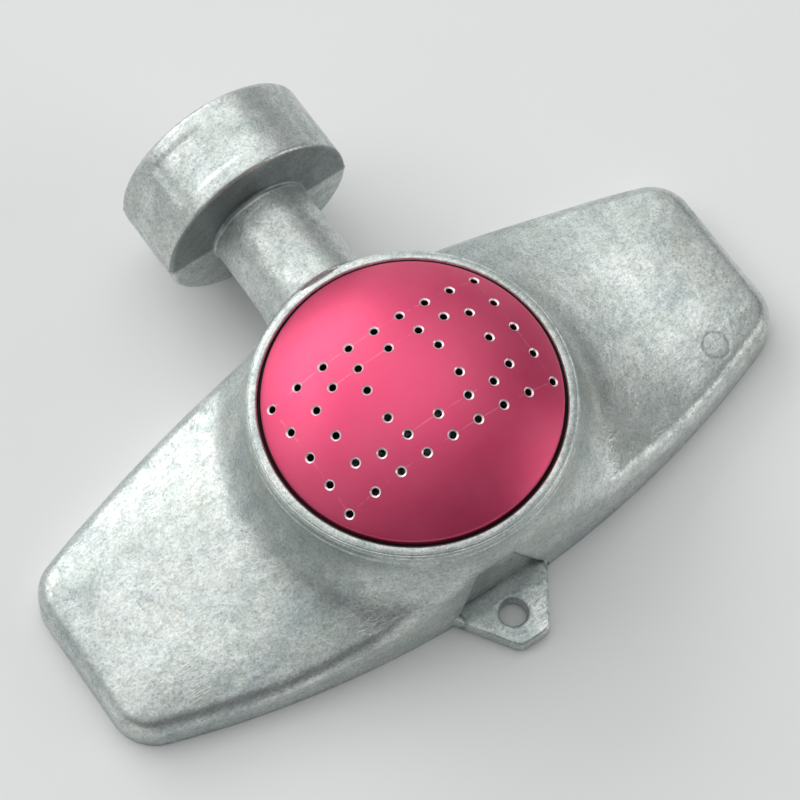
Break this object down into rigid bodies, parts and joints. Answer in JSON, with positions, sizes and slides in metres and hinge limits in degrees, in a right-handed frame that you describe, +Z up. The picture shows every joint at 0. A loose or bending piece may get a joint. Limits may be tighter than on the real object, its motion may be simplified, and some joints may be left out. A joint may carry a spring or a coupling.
{
  "type": "static lawn sprinkler",
  "caption": "Static lawn sprinkler: a winged die-cast body with a drilled domed rose on a round turret, a threaded inlet socket behind it and a drilled lug in front.",
  "frame": {"origin": "where the turret's axis meets the ground, on the base's flat underside", "axes": "+X along the wings, +Y towards the mouth of the inlet socket, +Z up through the rose"},
  "size_m": [0.132, 0.0977, 0.035],
  "materials": {
    "cast_metal": "as-cast, tumbled, with a mottled grey oxide",
    "rose_red": "satin red-pink anodised sheet",
    "black_rubber": "matt",
    "washer_rubber": "matt",
    "rim_brass": "satin",
    "mesh_steel": "bright woven wire"
  },
  "bodies": {
    "sprinkler": {"body_casting": "cast_metal", "rose_plate": "rose_red", "rose_gasket": "black_rubber"},
    "strainer": {"inlet_washer": "washer_rubber", "strainer_rim": "rim_brass", "strainer_mesh": "mesh_steel"}
  },
  "joints": [
    {"name": "strainer_withdraw", "type": "slide", "parent": "sprinkler", "child": "strainer", "axis": [0, 1, 0], "range_m": [0, 0.02]}
  ]
}
